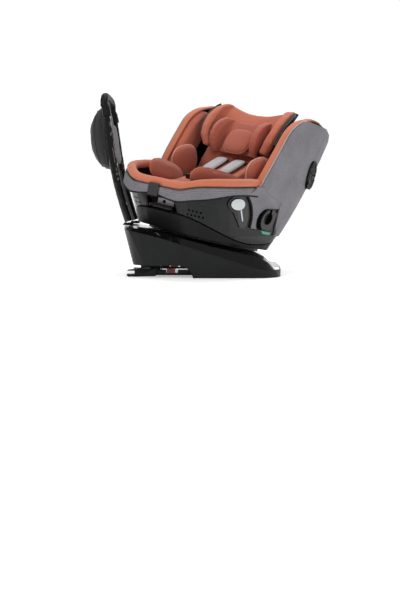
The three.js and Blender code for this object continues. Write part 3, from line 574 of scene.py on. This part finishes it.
def pad_outline(cad_node, share=1.0, level=0.0, count=64):
    """Outline of a padded block at a share of its size, in the block's own frame."""
    _, length, width, thick, power = PADS[cad_node]
    points = []
    for i in range(count):
        turn = 2 * math.pi * i / count
        c, s = math.cos(turn), math.sin(turn)
        x = math.copysign(abs(c) ** (2 / power), c) * length / 2 * share
        y = math.copysign(abs(s) ** (2 / power), s) * width / 2 * share
        points.append(Vector((x, y, level * thick / 2)))
    return points


CUSHIONS = []


def cushion(cad_node, look, voxel=5.0, swell=5.0, fill=0.7, pinned=None, relax=6, shape=None):
    """Starts a soft piece: an even mesh over the CAD solid, its edges relaxed, ready to be blown up."""
    piece = copy_of(cad_node, cad_node + "_cover")
    remesh = piece.modifiers.new("even", "REMESH")
    remesh.mode, remesh.voxel_size = "VOXEL", voxel * MM
    relaxed = piece.modifiers.new("relaxed", "SMOOTH")
    relaxed.factor, relaxed.iterations = 0.5, relax
    applied(piece)
    if shape:
        place = PADS[cad_node][0]
        back = place.inverted()
        for vertex in piece.data.vertices:
            vertex.co = place @ shape(back @ vertex.co)
    group = piece.vertex_groups.new(name="sewn")
    if pinned:
        back = SEAT.inverted() if BODY_OF[cad_node] != "base" else ROW.inverted()
        for vertex in piece.data.vertices:
            weight = pinned(back @ vertex.co)
            if weight > 0:
                group.add([vertex.index], min(weight, 1), "REPLACE")
    CUSHIONS.append((piece, cad_node, look, swell, fill))


def blow_up():
    """Cloth pressure on every soft piece at once; the movement is capped, and the cloth is then left out."""
    rest = {piece.name: [v.co.copy() for v in piece.data.vertices] for piece, *_ in CUSHIONS}
    for piece, *_ in CUSHIONS:
        cloth = piece.modifiers.new("cloth", "CLOTH")
        settings = cloth.settings
        settings.quality, settings.mass = 4, 0.2
        settings.tension_stiffness = settings.compression_stiffness = 12
        settings.shear_stiffness, settings.bending_stiffness = 6, 0.8
        settings.use_pressure, settings.uniform_pressure_force = True, CLOTH_PRESSURE
        settings.effector_weights.gravity = 0
        settings.vertex_group_mass = "sewn"
        cloth.collision_settings.use_collision = False
        cloth.point_cache.frame_start, cloth.point_cache.frame_end = 1, CLOTH_FRAMES
    for moment in range(1, CLOTH_FRAMES + 1):
        bpy.context.scene.frame_set(moment)
    bpy.context.view_layer.update()
    for piece, cad_node, look, swell, fill in CUSHIONS:
        applied(piece)
        for vertex, start in zip(piece.data.vertices, rest[piece.name]):
            move = vertex.co - start
            if move.length > swell * MM:
                vertex.co = start + move.normalized() * swell * MM
        even = piece.modifiers.new("even", "SMOOTH")
        even.factor, even.iterations = 0.4, 2
        finer = piece.modifiers.new("finer", "SUBSURF")
        finer.levels = finer.render_levels = 1
        applied(piece)
        piece.data.polygons.foreach_set("use_smooth", [True] * len(piece.data.polygons))
        piece.vertex_groups.clear()
        dress(piece, look, BODY_OF[cad_node], (cad_node,))
    bpy.context.scene.frame_set(1)


def cover(cad_node):
    return bpy.data.objects[cad_node + "_cover"]


def slack_bag(p):
    """The tether pouch hangs from its top: thin there, fullest below its middle, creased all over."""
    fullness = along(((-117, 0.5), (-70, 0.84), (-20, 1.0), (40, 0.95), (85, 0.66), (117, 0.36)), p.x)
    half_thick = 35
    depth = (p.z + half_thick) * fullness
    crease = noise_at(Vector((p.x * 0.022, p.y * 0.03, 3.7))) * 5
    crease += noise_at(Vector((p.x * 0.06, p.y * 0.05, 9.1))) * 2
    narrow = along(((-117, 0.86), (-60, 0.97), (0, 1.0), (70, 0.94), (117, 0.8)), p.x)
    return Vector((p.x, p.y * narrow, depth - half_thick - abs(crease) * min(max(depth / 40, 0), 1)))


def near_line(value, target, width):
    return max(0.0, 1 - abs(value - target) / width)


def insert_seams(p):
    return max(near_line(abs(p.y), 58, 6), near_line(p.x, 84, 7))


def build_cushions():
    cushion("rim_bolster", "rim", 5, 3, 0.7)
    # the back and seat cushions, head insert, pillow, inner bolsters and leg flaps take the darker terracotta,
    # which is painted shade
    cushion("back_cushion", "painted_shade_orange", 7, 4, 0.6)
    cushion("seat_cushion", "painted_shade_orange", 6, 4, 0.6)
    cushion("body_insert", "orange", 6, 5, 0.7, insert_seams)
    cushion("headrest_pad", "orange", 5, 4, 0.75)
    cushion("head_insert", "painted_shade_orange", 4.5, 4, 0.8)
    cushion("head_pillow", "painted_shade_orange", 4, 5, 0.85)
    cushion("tether_pouch", "black_cloth", 5, 4, 0.35, shape=slack_bag)
    cushion("pouch_front_panel", "black_cloth", 3, 2, 0.3, relax=3)
    for side, _ in SIDES:
        cushion("wing_pad_" + side, "orange", 5, 4, 0.75)
        cushion("insert_bolster_" + side, "painted_shade_orange", 4.5, 5, 0.8)
        cushion("leg_flap_" + side, "painted_shade_orange", 4.5, 4, 0.6)
        cushion("harness_pad_" + side, "pale", 3, 2, 0.6, relax=3)
    blow_up()


def make_room_for_button():
    """Dimple in the seat cushion, under the harness adjuster's button."""
    travel, clearance, rise = 3.0, 1.2, 0.6
    bpy.context.view_layer.update()
    to_seat = SEAT.inverted()
    button = bpy.data.objects["adjuster_button"]
    corners = [to_seat @ (button.matrix_world @ v.co) for v in button.data.vertices]
    low, high = [[pick(p[k] for p in corners) for k in range(3)] for pick in (min, max)]
    floor = low[2] - travel - clearance
    piece = bpy.data.objects["seat_cushion_cover"]
    to_piece = (to_seat @ piece.matrix_world).inverted()
    for vertex in piece.data.vertices:
        p = to_seat @ (piece.matrix_world @ vertex.co)
        away = max(low[0] - p.x, p.x - high[0], low[1] - p.y, p.y - high[1], 0)
        p.z = min(p.z, floor + max(away - 2, 0) * rise)
        vertex.co = to_piece @ p


def slimmed(piece, axis, factor):
    """Thins a piece about its middle along one axis."""
    values = [v.co[axis] for v in piece.data.vertices]
    middle = (min(values) + max(values)) / 2
    for vertex in piece.data.vertices:
        vertex.co[axis] = middle + (vertex.co[axis] - middle) * factor


PAD_PIPING = (
    ("insert_bolster_", "piping", 1.9),
    ("leg_flap_", "orange", 2.2),
    ("harness_pad_", "grey_piping", 1.1),
)


def trim_cushions():
    """Piping and stitched seams, laid on the finished covers."""
    for side, _ in SIDES:
        for kind, look, radius in PAD_PIPING:
            name = kind + side
            place = PADS[name][0]
            edge = snapped(pad_outline(name), cover(name), place, 0.6)
            tube(name + "_piping", edge, radius, look, "seat", True, place)
        name = "harness_pad_" + side
        place = PADS[name][0]
        row = snapped(pad_outline(name, 0.84, 1.2), cover(name), place, 0.3)
        stitches(name + "_stitching", row, 4, 2.6, 0.45, "thread", "seat", place)
    place = PADS["head_pillow"][0]
    edge = snapped(pad_outline("head_pillow"), cover("head_pillow"), place, 0.6)
    tube("head_pillow_piping", edge, 2.0, "orange", "headrest", True, place)
    for side, s in SIDES:
        body_seam = [(x, s * 58, along(INSERT_TOP, x) + 8) for x in steps(-70, 205, 40)]
        line = snapped(body_seam, cover("body_insert"), SEAT, 0.2)
        stitches("insert_stitching_" + side, line, 5, 3.2, 0.6, "piping", "seat", SEAT)


# ---------------------------------------------------------------- fabric over the shell
def build_fabric_trim():
    for side, s in SIDES:
        hard("side_panel_" + side, "grey", 40)
        front = [(along(WING_EDGE, z) + 2.5, s * (along(BODY_HALF, z) + 1.5), z) for z in steps(206, 508, 60)]
        tube("wing_piping_" + side, front, 2.3, "grey_piping", "seat", place=SEAT)
        row = [(along(WING_EDGE, z) - 9, s * (along(BODY_HALF, z) + 6.3), z) for z in steps(212, 500, 60)]
        stitches("wing_stitching_" + side, row, 5, 3.2, 0.5, "thread", "seat", SEAT)
        side_cloth(side, s)
        gusset(side, s)
        wing_band(side, s)
        rim_tail(side, s)
    hard("rim_skirt", "grey", 40, levels=1)
    lower = rim_line(15.5, lambda t: skirt_drop(t) - 1.5)
    tube("rim_black_piping", lower, 3.0, "matte", "seat", place=SEAT)
    upper = rim_line(15.5, -13.0)
    tube("rim_edge_line", upper, 1.5, "webbing", "seat", place=SEAT)
    for k, drop in enumerate((-21.5, -27.5)):
        row = rim_line(17.3, drop)[18:-18]
        stitches(f"rim_stitching_{k}", row, 5.5, 4.0, 0.75, "thread", "seat", SEAT)


def side_cloth(side, s):
    """Cloth between the wing and the arch round the release panel."""
    ahead = ((96, 40), (110, 44), (132, 50), (160, 66), (180, 84), (206, 116), (216, 104), (242, 76))
    behind = ((96, 0), (110, 14), (136, 21), (160, 10), (176, -20), (184, -84), (206, -82), (242, 50))
    rows, columns = 36, 16
    grid = []
    for z in steps(98, 240, rows):
        for x in steps(along(behind, z), along(ahead, z), columns):
            grid.append((x, z))
    vertices = [SEAT @ Vector((x, s * body_y(x, z, 0.6), z)) for x, z in grid]
    for x, z in grid:
        over_skirt = min(max((x - 20) / 40, 0), 1) * min(max((z - 198) / 20, 0), 1)
        vertices.append(SEAT @ Vector((x, s * body_y(x, z, 4.4 + 6.8 * over_skirt), z)))
    wide, count = columns + 1, len(grid)
    faces = []
    for r in range(rows):
        for c in range(columns):
            a = r * wide + c
            quad = (a, a + 1, a + wide + 1, a + wide)
            faces += [quad, tuple(count + k for k in reversed(quad))]
    edges = [(c, c + 1) for c in range(columns)]
    edges += [(rows * wide + c + 1, rows * wide + c) for c in range(columns)]
    edges += [((r + 1) * wide, r * wide) for r in range(rows)]
    edges += [(r * wide + columns, (r + 1) * wide + columns) for r in range(rows)]
    faces += [(b, a, count + a, count + b) for a, b in edges]
    piece = make("side_cloth_" + side, vertices, faces)
    sharpen(piece, 50)
    dress(piece, "grey", "seat")
    line = [(along(ahead, z) + 1.5, s * body_y(along(ahead, z), z, 3.6), z) for z in steps(98, 206, 30)]
    tube("arch_piping_" + side, line, 3.6, "matte", "seat", place=SEAT)


def wing_band(side, s):
    """Padded orange edge over the front of a wing and back along its top."""
    line = [(along(WING_EDGE, z) - 1, s * (along(BODY_HALF, z) - 13), z) for z in steps(214, 512, 50)]
    line += [(-152, s * 224, 519), (-185, s * 222, 521), (-225, s * 214, 521)]
    section = bar_section(10, 27, 20, 3)
    band = sweep("wing_band_" + side, rounded(line, 70, 2), section, place=SEAT, up=(0, 1, 0))
    dress(band, "rim", "seat")


def rim_tail(side, s):
    """End of the padded rim, which narrows and tucks in behind the wing."""
    rings, sides, radius, narrowing, tip = 14, 20, 16.5, 1.15, 0.9
    line = [(72, s * 228, 248), (63, s * 226, 245), (57, s * 222, 238), (54, s * 217, 228)]
    vertices = []
    for i, p in enumerate(rounded(line, rings, 1)):
        size = radius * math.cos(i / rings * narrowing)
        lean = i / rings * tip
        for u, v in round_section(size, sides):
            vertices.append(SEAT @ (p + Vector((v * math.sin(lean), u, v * math.cos(lean)))))
    faces = ring_faces(rings, sides, rings + 1)
    faces += [tuple(range(sides)), tuple(rings * sides + k for k in range(sides))]
    tail = dress(make("rim_tail_" + side, vertices, faces), "rim", "seat")


def gusset(side, s):
    """Ribbed elastic band along the headrest's outer edge."""
    line = [(along(HEAD_EDGE, z) - 24, s * (along(HEAD_HALF, z) + 6.5), z) for z in steps(398, 530, 40)]
    band = sweep("head_gusset_" + side, line, bar_section(15, 4), place=SEAT, up=(0, 1, 0))
    dress(band, "ribbed", "headrest")
    ribs = [(along(HEAD_EDGE, z) - 24, s * (along(HEAD_HALF, z) + 9.2), z) for z in steps(400, 528, 40)]
    stitches("head_gusset_ribs_" + side, ribs, 6, 3.4, 1.5, "grey_piping", "headrest", SEAT)


# ---------------------------------------------------------------- hard parts
def build_hard_parts():
    hard("base_housing", "base", 30)
    hard("base_deck", "gloss", 34)
    hard("bearing_ring", "steel", 30, 0.8)
    hard("rebound_bar", "gloss", 40, levels=1)
    hard("rebound_bar_cover", "matte", 40, levels=1)
    hard("swivel_plate", "matte", 30, 0.8)
    hard("recline_cradle", "matte", 30)
    hard("lower_shell", "shell", 30)
    hard("back_shell", "matte", 40, levels=1)
    hard("inner_shell", "matte", 30)
    hard("handle_housing", "matte", 30, 2.0)
    hard("label_plate", "silver", 30, 0.6)
    hard("adjuster_cover", "black_cloth", 40, levels=1)
    hard("adjuster_button", "silver", 30, 0.8)
    hard("recline_handle", "gloss", 40, levels=1)
    hard("buckle_body", "shell", 40, levels=1)
    hard("buckle_button", "red", 30, 0.8)
    hard("headrest_shell", "matte", 40, levels=1)
    hard("headrest_lever", "gloss", 40, levels=1)
    slimmed(hard("anchor_crossbar", "steel", 30, 1.0), 2, 0.9)
    for side, _ in SIDES:
        hard("rebound_socket_" + side, "gloss", 30, 1.0)
        hard("anchor_arm_" + side, "base", 30, 1.2)
        hard("anchor_latch_" + side, "steel", 30, 0.5)
        hard("anchor_release_" + side, "red", 30, 1.2)
        hard("impact_pod_" + side, "gloss", 30, 1.5)
        hard("belt_guide_" + side, "gloss", 34)
        hard("guide_strip_" + side, "green", 30, 0.8)
        hard("release_panel_" + side, "gloss", 34)
        hard("swivel_release_" + side, "silver", 34, 0.8)
        hard("harness_strap_" + side, "webbing", 40, levels=1)


def oval(x, z, wide, tall, degrees):
    return [(x + wide * math.cos(a), z + tall * math.sin(a)) for a in (math.radians(t) for t in degrees)]


def build_hard_details():
    for side, s in SIDES:
        bar = [(x, s * body_y(x, z, 6.2), z) for x, z in ((129, 151), (119, 139), (109, 127), (100, 116))]
        light = sweep("light_bar_" + side, rounded(bar, 16, 1), bar_section(6, 2.4), place=SEAT, up=(0, 1, 0))
        dress(light, "silver", "seat")
        ring = [
            on_body(s, x, z, 5.0)
            for x, z in oval(DISC["x"], DISC["z"], DISC["wide"] + 1.5, DISC["tall"] + 1.5, steps(0, 350, 35))
        ]
        tube("disc_bezel_" + side, ring, 1.2, "matte", "seat", True, SEAT)
        throat = oval(GUIDE["x"], GUIDE["z"], GUIDE["radius"], GUIDE["radius"], steps(115, 415, 30))
        lip = [on_body(s, x, z, 16.8) for x, z in throat]
        tube("belt_guide_lip_" + side, lip, 1.8, "shell", "seat", place=SEAT)
        rim = oval(POD["x"], POD["z"], POD["wide"], POD["tall"], steps(0, 350, 35))
        pod = [(x, s * (POD["y"] + 8.3), z) for x, z in rim]
        tube("impact_pod_ring_" + side, pod, 1.0, "matte", "impact_pod_" + side, True, SEAT)
        collar_low, collar_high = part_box("rebound_socket_" + side)
        middle = (collar_low + collar_high) / 2
        band = [
            (middle.x + 0.0178 * math.cos(a), middle.y + 0.0158 * math.sin(a), collar_low.z + 0.002)
            for a in (math.radians(t) for t in steps(0, 345, 23))
        ]
        tube("socket_gasket_" + side, [Vector(p) / MM for p in band], 1.4, "matte", "base", True)
    crease = []
    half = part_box("base_housing")[0].y / MM
    for x in steps(-150, 170, 40):
        crease.append((x, half - 0.4, max(CREASE["height"] + CREASE["slope"] * x, CREASE["toe"]) + 0.3))
    tube("base_parting_bead", crease, 0.9, "matte", "base")
    knob = sweep("label_plate_knob", [(243.2, -4, 120), (247.5, -4, 120)], round_section(5.5, 16), place=SEAT)
    dress(knob, "matte", "seat")


def build_pouch_details():
    place = PADS["tether_pouch"][0]
    for k, level in enumerate((-0.55, 0.55)):
        edge = snapped(pad_outline("tether_pouch", 0.97, level), cover("tether_pouch"), place, 0.4)
        tube(f"pouch_piping_{k}", edge, 2.0, "webbing", "base", True, place)
    mouth = [(p.x, p.y, 0) for p in pad_outline("tether_pouch")][:34]
    zipper = snapped(mouth, cover("tether_pouch"), place, 0.4)
    stitches("pouch_zip", zipper, 4, 2.6, 1.1, "matte", "base", place)
    place = PADS["pouch_front_panel"][0]
    row = snapped(pad_outline("pouch_front_panel", 0.9, 1.4), cover("pouch_front_panel"), place, 0.2)
    stitches("pouch_panel_stitching", row, 5, 3.2, 0.5, "webbing", "base", place)


# ---------------------------------------------------------------- stage, light and camera
def build_stage():
    half_wide, front, back, level, top = 9, -4, 6, -0.0006, 7
    corners = [(-half_wide, front, level), (half_wide, front, level), (half_wide, back, level)]
    corners += [(-half_wide, back, level), (-half_wide, back, top), (half_wide, back, top)]
    floor = make("studio_floor", corners, [(0, 1, 2, 3), (3, 2, 5, 4)], False)
    rounding = floor.modifiers.new("sweep", "BEVEL")
    rounding.width, rounding.segments = 1.5, 12
    made, tree, shader, where = start_material("pale_floor")
    tone = ramp(tree, noise(tree, where, 1.2), 0.3, 0.7, (0.9, 0.9, 0.895), (0.94, 0.94, 0.935))
    link(tree, tone, shader.inputs["Base Color"])
    shader.inputs["Roughness"].default_value = 0.8
    shader.inputs["Emission Color"].default_value = (1, 1, 0.995, 1)
    shader.inputs["Emission Strength"].default_value = 0.42
    floor.data.materials.append(made)
    world = bpy.data.worlds.new("studio")
    world.use_nodes = True
    world.node_tree.nodes["Background"].inputs["Color"].default_value = (1, 1, 1, 1)
    world.node_tree.nodes["Background"].inputs["Strength"].default_value = 0.38
    bpy.context.scene.world = world
    lights = (
        ("key_light", (-2.0, -2.2, 2.6), 1.6, 44),
        ("fill_light", (2.4, -2.0, 1.4), 1.2, 16),
        ("top_light", (0.1, 0.3, 3.2), 1.4, 40),
        ("rim_light", (1.6, 2.2, 1.8), 1.2, 24),
    )
    for name, spot, size, power in lights:
        data = bpy.data.lights.new(name, "AREA")
        data.energy, data.size = power, size
        light = bpy.data.objects.new(name, data)
        light.location = spot
        aim = Vector((0, 0, 0.3)) - Vector(spot)
        light.rotation_euler = aim.to_track_quat("-Z", "Y").to_euler()
        bpy.context.scene.collection.objects.link(light)


def build_camera():
    """Level camera in front of the seat's side, as far away as the perspective shows."""
    data = bpy.data.cameras.new("camera")
    data.sensor_width, data.lens = 36, CAMERA["lens"]
    data.shift_x, data.shift_y = CAMERA["shift"]
    camera = bpy.data.objects.new("camera", data)
    camera.location = CAMERA["place"]
    camera.rotation_euler = (math.radians(90), 0, 0)
    bpy.context.scene.collection.objects.link(camera)
    bpy.context.scene.camera = camera


bpy.context.scene.view_settings.view_transform = "Standard"
build_cushions()
make_room_for_button()
trim_cushions()
build_hard_parts()
build_fabric_trim()
build_hard_details()
build_pouch_details()
build_stage()
build_camera()
